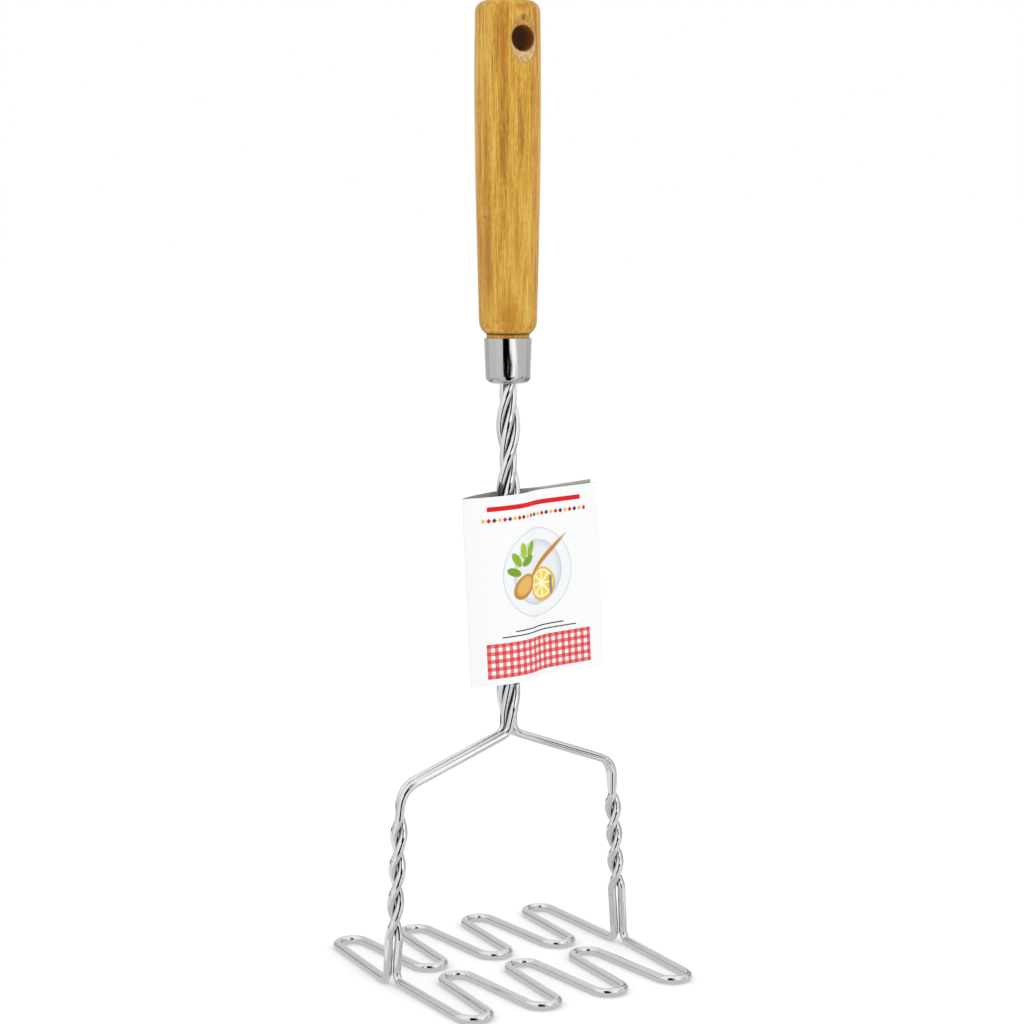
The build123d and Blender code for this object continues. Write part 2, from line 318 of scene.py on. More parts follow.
# %% Geometry Nodes tree for a drawn wire
drawn = bpy.data.node_groups.new("drawn_wire", "GeometryNodeTree")
drawn.interface.new_socket("Route", in_out="INPUT", socket_type="NodeSocketGeometry")
radius_input = drawn.interface.new_socket("Wire Radius", in_out="INPUT", socket_type="NodeSocketFloat")
sides_input = drawn.interface.new_socket("Sides", in_out="INPUT", socket_type="NodeSocketInt")
finish_input = drawn.interface.new_socket("Finish", in_out="INPUT", socket_type="NodeSocketMaterial")
drawn.interface.new_socket("Wire", in_out="OUTPUT", socket_type="NodeSocketGeometry")

given = add_node(drawn, "NodeGroupInput")
section = add_node(drawn, "GeometryNodeCurvePrimitiveCircle", {
    "Resolution": given.outputs["Sides"], "Radius": given.outputs["Wire Radius"],
})
section_place = add_node(drawn, "GeometryNodeCaptureAttribute", {"Geometry": section.outputs["Curve"]})
section_place.capture_items.new("VECTOR", "Place")
section_point = add_node(drawn, "GeometryNodeInputPosition").outputs["Position"]
drawn.links.new(section_point, section_place.inputs["Place"])
along = add_node(drawn, "GeometryNodeCaptureAttribute", {"Geometry": given.outputs["Route"]})
along.capture_items.new("FLOAT", "Length")
length_along = add_node(drawn, "GeometryNodeSplineParameter").outputs["Length"]
drawn.links.new(length_along, along.inputs["Length"])
tube = add_node(drawn, "GeometryNodeCurveToMesh", {
    "Curve": along.outputs["Geometry"], "Profile Curve": section_place.outputs["Geometry"],
    "Fill Caps": True,
})
split = add_node(drawn, "ShaderNodeSeparateXYZ", {"Vector": section_place.outputs["Place"]})
wire_place = add_node(drawn, "ShaderNodeCombineXYZ", {
    "X": along.outputs["Length"], "Y": split.outputs["X"], "Z": split.outputs["Y"],
})
stored = add_node(drawn, "GeometryNodeStoreNamedAttribute", {
    "Geometry": tube.outputs["Mesh"], "Name": "wire_place", "Value": wire_place.outputs["Vector"],
}, data_type="FLOAT_VECTOR")
smooth = add_node(drawn, "GeometryNodeSetShadeSmooth", {"Geometry": stored.outputs["Geometry"]})
real = add_node(drawn, "GeometryNodeRealizeInstances", {"Geometry": smooth.outputs["Geometry"]})
dressed = add_node(drawn, "GeometryNodeSetMaterial", {
    "Geometry": real.outputs["Geometry"], "Material": given.outputs["Finish"],
})
add_node(drawn, "NodeGroupOutput", {"Wire": dressed.outputs["Geometry"]})
print("the tree has", len(drawn.nodes), "nodes")


# %% Draw both wires
def draw_wire(name, route):
    """Carry the section along a route and keep the result as a plain mesh."""
    line = bpy.data.curves.new(name + "_route", "CURVE")
    line.dimensions = "3D"
    spline = line.splines.new("POLY")
    spline.points.add(len(route) - 1)
    for corner, point in zip(spline.points, route):
        corner.co = (*(point * MM), 1)
    carrier = bpy.data.objects.new(name + "_route", line)
    bpy.context.scene.collection.objects.link(carrier)
    modifier = carrier.modifiers.new("drawn_wire", "NODES")
    modifier.node_group = drawn
    modifier[radius_input.identifier] = wire_radius * MM
    modifier[sides_input.identifier] = wire_sides
    modifier[finish_input.identifier] = chrome_wire
    graph = bpy.context.evaluated_depsgraph_get()
    mesh = bpy.data.meshes.new_from_object(carrier.evaluated_get(graph), depsgraph=graph)
    bpy.data.objects.remove(carrier)
    wire = bpy.data.objects.new("drawn_" + name, mesh)
    bpy.context.scene.collection.objects.link(wire)
    return wire


# %% [markdown]
# ## Gaps between strands
# The gap at a point of a wire is its distance to the nearest strand other than its own. A
# tree of points along both wires finds the near ones fast, and those a few millimetres away
# along the same wire are its own strand, so they are left out.

# %% Points along both wires
strand_points, point_spacing = [], 0.5
for name, route in routes.items():
    length = 0.0
    for start, end in zip(route, route[1:]):
        run = (end - start).length
        pieces = max(1, round(run / point_spacing))
        for step in range(pieces):
            strand_points.append((name, length + run * step / pieces, start.lerp(end, step / pieces)))
        length += run
near_points = KDTree(len(strand_points))
for number, (name, length, point) in enumerate(strand_points):
    near_points.insert(point, number)
near_points.balance()
print(len(strand_points), "points", point_spacing, "mm apart")


# %% Store the gap on each wire
# In millimetres: the widest gap that counts, and how much of a wire is its own strand
widest_gap, own_run = 1.0, 8.0


def strand_gap(name, length, point):
    """Millimetres from a point of one wire's surface to the next strand's surface."""
    gap = widest_gap
    for other, number, distance in near_points.find_range(point, wire_radius + widest_gap):
        wire_name, wire_length, _ = strand_points[number]
        if wire_name != name or abs(wire_length - length) > own_run:
            gap = min(gap, distance - wire_radius)
    return max(0.0, gap)


for name, route in routes.items():
    wire = draw_wire(name, route)
    places = np.zeros(3 * len(wire.data.vertices))
    wire.data.attributes["wire_place"].data.foreach_get("vector", places)
    corners = zip(places[::3], wire.data.vertices)
    gaps = [strand_gap(name, length / MM, corner.co / MM) for length, corner in corners]
    wire.data.attributes.new("strand_gap", "FLOAT", "POINT").data.foreach_set("value", gaps)
    print(name, "touches its neighbours along", sum(gap < touching for gap in gaps), "corners")
    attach(wire, "masher")
    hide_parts(name)
    print(wire.name, "has", len(wire.data.polygons), "faces")

# %% [markdown]
# ## Ferrule
# The ferrule is drawn from thin steel sheet and nickel-plated. Drawing leaves fine upright
# lines, so it is greyer and softer than the wire: still a mirror, but a satin one. The solid
# has the right shape, so it only takes a material.

# %% Nickel-plated drawn sheet
draw_line, draw_line_length = 0.3 * MM, 6 * MM

nickel, tree = new_material("nickel_plated_drawn_sheet")
spot = add_node(tree, "ShaderNodeTexCoord")
stretch = add_node(tree, "ShaderNodeMapping", {
    "Vector": spot.outputs["Object"], "Scale": (1 / draw_line, 1 / draw_line, 1 / draw_line_length),
})
lines = add_node(tree, "ShaderNodeTexNoise", {
    "Vector": stretch.outputs["Vector"], "Scale": 1.0, "Detail": 4.0,
})
satin = add_node(tree, "ShaderNodeMapRange", {
    "Value": lines.outputs["Fac"], "From Min": 0.3, "From Max": 0.7, "To Min": 0.04, "To Max": 0.09,
})
relief = add_node(tree, "ShaderNodeBump", {
    "Height": lines.outputs["Fac"], "Strength": 0.03, "Distance": 0.03 * MM,
})
metal = add_node(tree, "ShaderNodeBsdfPrincipled", {
    "Base Color": colour("B6B6B4"), "Metallic": 1.0,
    "Roughness": satin.outputs["Result"], "Normal": relief.outputs["Normal"],
})
add_node(tree, "ShaderNodeOutputMaterial", {"Surface": metal.outputs["BSDF"]})
nodes["ferrule"].data.materials[0] = nickel

# %% [markdown]
# ## Varnished wood
# The handle is turned from a light hardwood and varnished. A photograph of wood could be
# wrapped round it, but then the grain would stop at the hole and the ends. Noise stretched
# along the grain fills the whole solid, so it runs on through every cut. Four sizes of it
# add up to one tone: broad bands, streaks, fine fibres and short flecks.

# %% Tone of the wood
grain = {
    "bands": (4.2, 60, 2.0, 0.28), "streaks": (0.9, 26, 3.0, 0.24),
    "fibres": (0.3, 14, 3.0, 0.36), "flecks": (0.5, 2.2, 2.0, 0.2),
}

wood, tree = new_material("varnished_hardwood")
spot = add_node(tree, "ShaderNodeTexCoord")
tone, layers = 0.0, {}
for number, (name, (width, length, detail, share)) in enumerate(grain.items(), 1):
    stretch = add_node(tree, "ShaderNodeMapping", {
        "Vector": spot.outputs["Object"], "Location": (number * 7.3, number * 2.1, number * 0.4),
        "Scale": (1 / (width * MM), 1 / (width * MM), 1 / (length * MM)),
    })
    layers[name] = add_node(tree, "ShaderNodeTexNoise", {
        "Vector": stretch.outputs["Vector"], "Scale": 1.0, "Detail": detail, "Distortion": 0.4,
    }).outputs["Fac"]
    added = add_node(tree, "ShaderNodeMath", {0: layers[name], 1: share, 2: tone}, operation="MULTIPLY_ADD")
    tone = added.outputs[0]
print("layers of grain:", ", ".join(grain))

# %% Colours of the wood, from its palest to its darkest
shown = add_node(tree, "ShaderNodeRGB")
shown.outputs[0].default_value = colour("D1AA4E")
surface = shown.outputs[0]
for ink, start, end in (("C89727", 0.46, 0.51), ("B68014", 0.52, 0.57), ("92600C", 0.58, 0.66)):
    amount = add_node(tree, "ShaderNodeMapRange", {"Value": tone, "From Min": start, "From Max": end})
    surface = add_node(tree, "ShaderNodeMix", {
        0: amount.outputs["Result"], 6: surface, 7: colour(ink),
    }, data_type="RGBA").outputs[2]
print("three mixes take the tone from straw to amber")

# %% Marks of the real handle
mark_radius = 10.4
# Each mark is its angle and height on the handle, its half width and half length in mm,
# how ragged it is, and its colour.
marks = (
    (-129, 308.0, 1.0, 12.5, 0.9, "AC6410"),
    (-96, 317.5, 2.4, 1.1, 0.6, "B4701A"),
    (-165, 250.8, 0.45, 0.6, 0.2, "7A4A1A"),
    (-110, 216.6, 0.4, 0.4, 0.2, "5E3A16"),
    (-158, 236.0, 1.3, 15.0, 0.9, "9E6618"),
    (-122, 219.0, 3.2, 5.5, 1.2, "B07416"),
    (-104, 240.0, 0.9, 9.0, 1.0, "B0761A"),
)
for angle, height, half_width, half_length, ragged, ink in marks:
    centre = around(mark_radius, angle, height)
    spread = (half_width, half_width, half_length)
    near = add_node(tree, "ShaderNodeMapping", {
        "Vector": spot.outputs["Object"], "Scale": [1 / (s * MM) for s in spread],
        "Location": [-c / s for c, s in zip(centre, spread)],
    })
    off = add_node(tree, "ShaderNodeVectorMath", {0: near.outputs["Vector"]}, operation="LENGTH")
    torn = add_node(tree, "ShaderNodeMath", {
        0: layers["fibres"], 1: 4 * ragged, 2: off.outputs["Value"],
    }, operation="MULTIPLY_ADD")
    amount = add_node(tree, "ShaderNodeMapRange", {
        "Value": torn.outputs[0], "From Min": 1.2 + 2 * ragged, "From Max": 0.4 + 2 * ragged, "To Max": 0.85,
    })
    surface = add_node(tree, "ShaderNodeMix", {
        0: amount.outputs["Result"], 6: surface, 7: colour(ink),
    }, data_type="RGBA").outputs[2]
print(len(marks), "marks on the handle")

# %% [markdown]
# The hanging hole is countersunk, which cuts across the grain: the flare shows torn end grain,
# paler and full of pores, with a brown line at its edge. The bore and a ring round its mouth are
# painted darker brown as shade inside the hole. All of it depends on two distances, from the hole's axis and
# from its middle.

# %% Torn wood round the hanging hole
hole_height, hole_radius, flare_start, flare_depth, flare_slope = 307.5, 4.0, 9.483, 1.347, 2.747
pore_size = 0.32

flat = add_node(tree, "ShaderNodeVectorMath", {
    0: spot.outputs["Object"], 1: (1, 0, 1),
}, operation="MULTIPLY")
from_axis = add_node(tree, "ShaderNodeVectorMath", {
    0: flat.outputs["Vector"], 1: (0, 0, hole_height * MM),
}, operation="DISTANCE").outputs["Value"]
split = add_node(tree, "ShaderNodeSeparateXYZ", {"Vector": spot.outputs["Object"]})
depth = add_node(tree, "ShaderNodeMath", {0: split.outputs["Y"]}, operation="ABSOLUTE")
edge = add_node(tree, "ShaderNodeMath", {
    0: depth.outputs[0], 1: -flare_slope, 2: (flare_slope * flare_start - hole_radius) * MM,
}, operation="MULTIPLY_ADD")
rough_edge = add_node(tree, "ShaderNodeMath", {
    0: layers["streaks"], 1: -0.9 * MM, 2: edge.outputs[0],
}, operation="MULTIPLY_ADD")
past_edge = add_node(tree, "ShaderNodeMath", {0: from_axis, 1: rough_edge.outputs[0]}, operation="ADD")
past_flare = past_edge.outputs[0]
pores = add_node(tree, "ShaderNodeTexNoise", {
    "Vector": spot.outputs["Object"], "Scale": 1 / (pore_size * MM), "Detail": 1.0,
})
end_grain = add_node(tree, "ShaderNodeMapRange", {
    "Value": pores.outputs["Fac"], "From Min": 0.5, "From Max": 0.66,
})
dotted = add_node(tree, "ShaderNodeMix", {
    0: end_grain.outputs["Result"], 6: colour("D6BC86"), 7: colour("946018"),
}, data_type="RGBA")
splinters = add_node(tree, "ShaderNodeMapRange", {
    "Value": layers["streaks"], "From Min": 0.52, "From Max": 0.62,
})
cut_fibres = add_node(tree, "ShaderNodeMapRange", {
    "Value": layers["fibres"], "From Min": 0.42, "From Max": 0.6,
})
combed = add_node(tree, "ShaderNodeMix", {
    0: cut_fibres.outputs["Result"], 6: colour("CDA248"), 7: colour("A0761E"),
}, data_type="RGBA")
golden = add_node(tree, "ShaderNodeMix", {
    0: splinters.outputs["Result"], 6: combed.outputs[2], 7: colour("74500E"),
}, data_type="RGBA")
lower_half = add_node(tree, "ShaderNodeMapRange", {
    "Value": split.outputs["Z"], "From Min": (hole_height + 3) * MM, "From Max": (hole_height - 2) * MM,
})
torn_wood = add_node(tree, "ShaderNodeMix", {
    0: lower_half.outputs["Result"], 6: golden.outputs[2], 7: dotted.outputs[2],
}, data_type="RGBA").outputs[2]
# The first two lay a brown line at the flare's edge and the torn wood inside it. The last two are painted
# shade inside the hole: a darker ring round the bore's mouth and the darker bore.
for source, start, end, cover in (
    (colour("A8762C"), 0.2, -0.15, past_flare), (torn_wood, -0.15, -0.5, past_flare),
    (colour("7E4E1C"), 4.5, 4.15, from_axis), (colour("80490E"), 4.2, 4.02, from_axis),
):
    amount = add_node(tree, "ShaderNodeMapRange", {
        "Value": cover, "From Min": start * MM, "From Max": end * MM,
    })
    surface = add_node(tree, "ShaderNodeMix", {
        0: amount.outputs["Result"], 6: surface, 7: source,
    }, data_type="RGBA").outputs[2]
print("the flare ends", round(hole_radius + flare_depth * flare_slope, 2), "mm from the hole's axis")

# %% Shadowed joint above the ferrule, and the varnish
joint_height = 212.85
ring = add_node(tree, "ShaderNodeMath", {0: split.outputs["Z"], 1: joint_height * MM}, operation="SUBTRACT")
near_joint = add_node(tree, "ShaderNodeMath", {0: ring.outputs[0]}, operation="ABSOLUTE")
# Painted shadow: a dark brown ring where the handle's shoulder meets the ferrule
painted_joint_shadow = add_node(tree, "ShaderNodeMapRange", {
    "Value": near_joint.outputs[0], "From Min": 0.5 * MM, "From Max": 0.2 * MM, "To Max": 0.85,
})
surface = add_node(tree, "ShaderNodeMix", {
    0: painted_joint_shadow.outputs["Result"], 6: surface, 7: colour("4E2F0E"),
}, data_type="RGBA").outputs[2]
relief = add_node(tree, "ShaderNodeBump", {
    "Height": layers["fibres"], "Strength": 0.12, "Distance": 0.04 * MM,
})
in_bore = add_node(tree, "ShaderNodeMapRange", {
    "Value": from_axis, "From Min": 4.5 * MM, "From Max": 4.05 * MM, "To Min": 0.48, "To Max": 1.0,
})
varnish = add_node(tree, "ShaderNodeBsdfPrincipled", {
    "Base Color": surface, "Roughness": in_bore.outputs["Result"], "Specular IOR Level": 0.35,
    "Coat Weight": 0.1, "Coat Roughness": 0.25, "Normal": relief.outputs["Normal"],
})
add_node(tree, "ShaderNodeOutputMaterial", {"Surface": varnish.outputs["BSDF"]})
nodes["handle"].data.materials[0] = wood
print("the joint is", joint_height, "mm above the floor")

# %% [markdown]
# ## Paper tag
# The tag is one piece of card, folded on its left, wrapped round the stem and stapled on its
# right. It was cut flat and bent, so it keeps its length everywhere: a line drawn in plan and
# carried upwards gives it. The solid holds the same line. Here it also gets a printed face, a
# bare grey inside darkened further as painted shade, and layers that open a little past the
# staple, as card does.

# %% Sizes of the card, in millimetres
card_height, card_thickness, layer_gap = 63.0, 0.35, 0.1
fold_reach, front_reach, back_reach, back_rise = 16.3, 36.8, 34.8, 1.2
staple_reach, crest_shift, fold_radius = 16.5, 0.5, 0.5
lean, swing = math.radians(2.8), math.radians(2.1)
card_centre = Vector((0, 0, crotch_height + 48.3))
sleeve_radius = cross_pair_radius + wire_radius + 0.5
layers_open, open_sway = 0.25, 0.35

across = Vector((math.cos(lean) * math.cos(swing), math.cos(lean) * math.sin(swing), math.sin(lean)))
upward = Vector((-math.sin(lean) * math.cos(swing), -math.sin(lean) * math.sin(swing), math.cos(lean)))
backward = upward.cross(across)
crest = sleeve_radius / math.cos(lean)
taper_run, taper_fall = staple_reach - crest_shift, crest - layer_gap / 2
taper_radius = (taper_run**2 + taper_fall**2) / (4 * taper_fall)
taper_turn = 2 * math.atan(taper_fall / taper_run)
side_run, side_rise = fold_reach - card_thickness + crest_shift - fold_radius, crest - fold_radius
side_radius = fold_radius + (side_run**2 + side_rise**2) / (2 * side_rise)
side_turn = 2 * math.atan(side_rise / side_run)
print("the card bulges", round(crest, 2), "mm to clear the stem")


# %% The line of the card in plan
def card_line(out):
    """Points of one face of the folded card in plan, this far outside its inner face."""
    point, heading = Vector((front_reach, -layer_gap / 2 - out)), math.pi
    line = [point.copy()]
    for length, radius, turn, steps in (
        (front_reach - staple_reach, 0, 0, 24),
        (0, taper_radius - out, taper_turn, 12), (0, taper_radius + out, -taper_turn, 12),
        (0, side_radius + out, -side_turn, 12), (0, fold_radius + out, 2 * side_turn - math.pi, 14),
        (0, side_radius + out, -side_turn, 12),
        (0, taper_radius + out, -taper_turn, 12), (0, taper_radius - out, taper_turn, 12),
        (back_reach - staple_reach, 0, 0, 24),
    ):
        for step in range(steps):
            reach = length / steps if turn == 0 else 2 * radius * math.sin(abs(turn) / steps / 2)
            heading += turn / steps / 2
            point = point + Vector((math.cos(heading), math.sin(heading))) * reach
            heading += turn / steps / 2
            line.append(point.copy())
    return line


inner_line, outer_line = card_line(0), card_line(card_thickness)
back_start = len(inner_line) // 2
print("the line has", len(inner_line), "points and ends at", [round(c, 2) for c in inner_line[-1]])


# %% The card as one closed mesh
def card_place(point, column, row):
    """A point of the card in the model's frame, in metres."""
    reach, depth = point
    rise = 0 if column < back_start else back_rise * (reach + fold_reach) / (back_reach + fold_reach)
    past_staple = max(0.0, reach - staple_reach) / (front_reach - staple_reach)
    sway = 1 + open_sway * math.sin(5 * row + (0 if column < back_start else 2))
    depth += math.copysign(layers_open * past_staple**2 * sway, depth)
    height = (row - 0.5) * card_height + rise
    return (card_centre + across * reach + upward * height + backward * depth) * MM


rows = 48
columns = len(inner_line)
verts, print_places = [], []
for line in (outer_line, inner_line):
    for column, point in enumerate(line):
        for row in range(rows + 1):
            verts.append(card_place(point, column, row / rows))
            middle = (front_reach - fold_reach) / 2
            print_places.append((point.x - middle, (row / rows - 0.5) * card_height, 0))
faces, sides, charts = [], [], []


def corner(sheet, column, row):
    """The number of one corner. Sheet 0 is the outer face and sheet 1 the inner face."""
    return (sheet * columns + column) * (rows + 1) + row


def add_face(corners, side, chart):
    """One face with the side of the card it is on and its corners in the unwrapped picture."""
    faces.append(corners)
    sides.append(side)
    charts.append(chart)


def on_chart(sheet, column, row):
    """Where a corner lies in the unwrapped picture: outer face above, inner face below."""
    return (0.01 + 0.98 * column / (columns - 1), (0.52 if sheet == 0 else 0.02) + 0.46 * row / rows)


for sheet in (0, 1):
    for column in range(columns - 1):
        for row in range(rows):
            square = [(column, row), (column + 1, row), (column + 1, row + 1), (column, row + 1)]
            if sheet == 0:
                square.reverse()
            side = 0 if sheet else (1 if column < back_start else 2)
            add_face([corner(sheet, *c) for c in square], side, [on_chart(sheet, *c) for c in square])
for column in range(columns - 1):
    for row, order in ((0, 1), (rows, -1)):
        rim = [(0, column, row), (0, column + 1, row), (1, column + 1, row), (1, column, row)][::order]
        strip = [on_chart(0, c, 0)[0] for s, c, r in rim]
        add_face([corner(*c) for c in rim], 0, [
            (u, 0.495 + 0.005 * s + 0.01 * (row > 0)) for u, (s, c, r) in zip(strip, rim)
        ])
for row in range(rows):
    for column, order in ((0, -1), (columns - 1, 1)):
        rim = [(0, column, row), (0, column, row + 1), (1, column, row + 1), (1, column, row)][::order]
        add_face([corner(*c) for c in rim], 0, [
            (0.001 + 0.004 * s + 0.99 * (column > 0), 0.02 + 0.46 * r / rows) for s, c, r in rim
        ])
print(len(verts), "corners and", len(faces), "faces")

# %% Its attributes, its picture map and its sharp edges
card_mesh = bpy.data.meshes.new("folded_tag")
card_mesh.from_pydata(verts, [], faces)
card_places = card_mesh.attributes.new("print_place", "FLOAT_VECTOR", "POINT")
card_places.data.foreach_set("vector", np.ravel(print_places))
card_mesh.attributes.new("card_side", "FLOAT", "FACE").data.foreach_set("value", np.array(sides, float))
picture_map = card_mesh.uv_layers.new(name="OFBake")
picture_map.data.foreach_set("uv", np.ravel([place for chart in charts for place in chart]))
card_mesh.polygons.foreach_set("use_smooth", [True] * len(faces))
crease_angle = math.radians(50)
shaper = bmesh.new()
shaper.from_mesh(card_mesh)
sharp = [e for e in shaper.edges if e.is_manifold and e.calc_face_angle() > crease_angle]
for crease in sharp:
    crease.smooth = False
open_edges = sum(not e.is_manifold for e in shaper.edges)
turned_out = shaper.calc_volume(signed=True) > 0
shaper.to_mesh(card_mesh)
shaper.free()
tag = bpy.data.objects.new("folded_tag", card_mesh)
bpy.context.scene.collection.objects.link(tag)
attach(tag, "tag")
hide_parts("label_card")
print("open edges", open_edges, "- sharp edges", len(sharp), "- faces outwards", turned_out)

# %% [markdown]
# ## Print on the tag
# Hang tags like this are printed in a few flat inks on coated board. The print here is a plain
# kitchen design: lozenges and a red rule at the top, a plate with a wooden spoon, a slice of
# lemon and a sprig, and a gingham band at the foot. It could be an image, but shapes worked
# out from distances stay sharp at any size. The card carries its own places in millimetres,
# so each shape is given as it is on the card.

# %% Inks, and the oblongs of the design
red, charcoal, yellow, plate_grey, spoon_wood = "D60C08", "3E4043", "DDB741", "D0D4D9", "B98436"
leaf_green, bright_green, deep_green = "86AE2A", "9CBF38", "769C24"
check, gingham_ink = 2.6, 0.78
lozenge_spacing, lozenge_half = 1.9, 0.85
# Each oblong is its middle, and its half width and half height, in millimetres on the card
oblongs = {
    "gingham": ((0, -23.4), (21.45, 5.85)), "short rule": ((0, -14.2), (11, 0.22)),
    "long rule": ((0, -15.7), (16, 0.22)), "red rule": ((0, 27.4), (19.5, 0.8)),
    "lozenges": ((0, 23.6), (21.4, 1.4)),
}

printed, tree = new_material("printed_coated_board")
place = add_node(tree, "ShaderNodeAttribute", attribute_name="print_place").outputs["Vector"]
side = add_node(tree, "ShaderNodeAttribute", attribute_name="card_side").outputs["Fac"]
split = add_node(tree, "ShaderNodeSeparateXYZ", {"Vector": place})
white = add_node(tree, "ShaderNodeRGB")
white.outputs[0].default_value = colour("EAEBEC")
shown = white.outputs[0]
within = {}
for name, (middle, half) in oblongs.items():
    moved = add_node(tree, "ShaderNodeVectorMath", {0: place, 1: (*middle, 0)}, operation="SUBTRACT")
    mirrored = add_node(tree, "ShaderNodeVectorMath", {0: moved.outputs["Vector"]}, operation="ABSOLUTE")
    left_over = add_node(tree, "ShaderNodeVectorMath", {
        0: mirrored.outputs["Vector"], 1: (*half, 1),
    }, operation="SUBTRACT")
    parts = add_node(tree, "ShaderNodeSeparateXYZ", {"Vector": left_over.outputs["Vector"]})
    outside = add_node(tree, "ShaderNodeMath", {
        0: parts.outputs["X"], 1: parts.outputs["Y"],
    }, operation="MAXIMUM")
    inside = add_node(tree, "ShaderNodeMath", {0: outside.outputs[0], 1: 0.0}, operation="LESS_THAN")
    within[name] = inside.outputs[0]
print(len(oblongs), "oblong shapes")

# %% Fill the oblongs: gingham, plain rules, lozenges
for axis in ("X", "Y"):
    ripple = add_node(tree, "ShaderNodeMath", {0: split.outputs[axis], 1: check / 2}, operation="PINGPONG")
    stripe = add_node(tree, "ShaderNodeMath", {0: ripple.outputs[0], 1: check / 4}, operation="LESS_THAN")
    kept = add_node(tree, "ShaderNodeMath", {
        0: stripe.outputs[0], 1: within["gingham"],
    }, operation="MULTIPLY")
    thin_ink = add_node(tree, "ShaderNodeMath", {0: kept.outputs[0], 1: gingham_ink}, operation="MULTIPLY")
    shown = add_node(tree, "ShaderNodeMix", {
        0: thin_ink.outputs[0], 6: shown, 7: colour(red),
    }, data_type="RGBA").outputs[2]
for name, ink in (("short rule", charcoal), ("long rule", charcoal), ("red rule", red)):
    shown = add_node(tree, "ShaderNodeMix", {
        0: within[name], 6: shown, 7: colour(ink),
    }, data_type="RGBA").outputs[2]
row_height = oblongs["lozenges"][0][1]
lifted = add_node(tree, "ShaderNodeMath", {0: split.outputs["Y"], 1: row_height}, operation="SUBTRACT")
from_row = add_node(tree, "ShaderNodeMath", {0: lifted.outputs[0]}, operation="ABSOLUTE")
for number, ink in enumerate((charcoal, red, yellow)):
    shifted = add_node(tree, "ShaderNodeMath", {
        0: split.outputs["X"], 1: number * lozenge_spacing,
    }, operation="ADD")
    ripple = add_node(tree, "ShaderNodeMath", {
        0: shifted.outputs[0], 1: 1.5 * lozenge_spacing,
    }, operation="PINGPONG")
    slant = add_node(tree, "ShaderNodeMath", {
        0: ripple.outputs[0], 1: from_row.outputs[0],
    }, operation="ADD")
    lozenge = add_node(tree, "ShaderNodeMath", {
        0: slant.outputs[0], 1: lozenge_half,
    }, operation="LESS_THAN")
    kept = add_node(tree, "ShaderNodeMath", {
        0: lozenge.outputs[0], 1: within["lozenges"],
    }, operation="MULTIPLY")
    shown = add_node(tree, "ShaderNodeMix", {
        0: kept.outputs[0], 6: shown, 7: colour(ink),
    }, data_type="RGBA").outputs[2]
print("gingham checks of", check, "mm, and lozenges", lozenge_spacing, "mm apart")

# %% A plate with a spoon, a slice of lemon and a sprig
# Each oval is its middle, its turn in degrees, its half width and half length, how soft its
# edge is, as a share of it, and its ink. Later ones lie over earlier ones.
ovals = {
    "plate rim": ((0, 4.2), 0, (15.2, 15.2), 0.02, plate_grey),
    "plate": ((0, 4.2), 0, (14.7, 14.7), 0.02, "E6E8EA"),
    "well line": ((0, 4.2), 0, (11.2, 11.2), 0.03, "C6CBD1"),
    "well": ((0, 4.2), 0, (10.8, 10.8), 0.2, "DEE1E4"),
    "lemon edge": ((2.6, -0.4), 0, (5.9, 5.9), 0.1, "C9A23A"),
    "lemon rind": ((2.4, 0.0), 0, (5.7, 5.7), 0.03, yellow),
    "lemon pith": ((2.4, 0.0), 0, (4.9, 4.9), 0.04, "F4EDCB"),
    "lemon flesh": ((2.4, 0.0), 0, (4.5, 4.5), 0.1, "E8CB55"),
    "spoon handle": ((4.0, 8.6), -52, (0.95, 13.0), 0.3, spoon_wood),
    "spoon bowl": ((-6.6, 0.3), -52, (3.6, 5.2), 0.06, spoon_wood),
    "spoon hollow": ((-6.4, 0.5), -52, (2.8, 4.3), 0.25, "DDAE5C"),
}
leaves = (
    ((-9.4, 9.6), 35, leaf_green), ((-6.4, 12.2), 5, bright_green), ((-10.6, 5.6), 70, deep_green),
    ((-2.9, 12.6), -30, leaf_green), ((-4.6, 8.8), -62, deep_green),
)
for number, (middle, turn, ink) in enumerate(leaves, 1):
    ovals[f"leaf {number}"] = (middle, turn, (1.45, 3.0), 0.1, ink)
for name, (middle, turn, half, soft, ink) in ovals.items():
    laid = add_node(tree, "ShaderNodeMapping", {
        "Vector": place, "Location": (*middle, 0), "Rotation": (0, 0, math.radians(turn)),
        "Scale": (*half, 1),
    }, vector_type="TEXTURE")
    reach = add_node(tree, "ShaderNodeVectorMath", {0: laid.outputs["Vector"]}, operation="LENGTH")
    inside = add_node(tree, "ShaderNodeMapRange", {
        "Value": reach.outputs["Value"], "From Min": 1.0, "From Max": 1.0 - soft,
    })
    amount = inside.outputs["Result"]
    if name == "lemon flesh":
        # Eight pale ribs part the flesh: the angle round its middle, folded into eight wedges
        parts = add_node(tree, "ShaderNodeSeparateXYZ", {"Vector": laid.outputs["Vector"]})
        angle = add_node(tree, "ShaderNodeMath", {
            0: parts.outputs["Y"], 1: parts.outputs["X"],
        }, operation="ARCTAN2")
        wedge = add_node(tree, "ShaderNodeMath", {
            0: angle.outputs[0], 1: math.pi / 8,
        }, operation="PINGPONG")
        from_rib = add_node(tree, "ShaderNodeMath", {
            0: wedge.outputs[0], 1: reach.outputs["Value"],
        }, operation="MULTIPLY")
        flesh = add_node(tree, "ShaderNodeMapRange", {
            "Value": from_rib.outputs[0], "From Min": 0.05, "From Max": 0.1,
        })
        amount = add_node(tree, "ShaderNodeMath", {
            0: amount, 1: flesh.outputs["Result"],
        }, operation="MULTIPLY").outputs[0]
    shown = add_node(tree, "ShaderNodeMix", {
        0: amount, 6: shown, 7: colour(ink),
    }, data_type="RGBA").outputs[2]
print(len(ovals), "ovals, from the plate's rim to the last leaf")
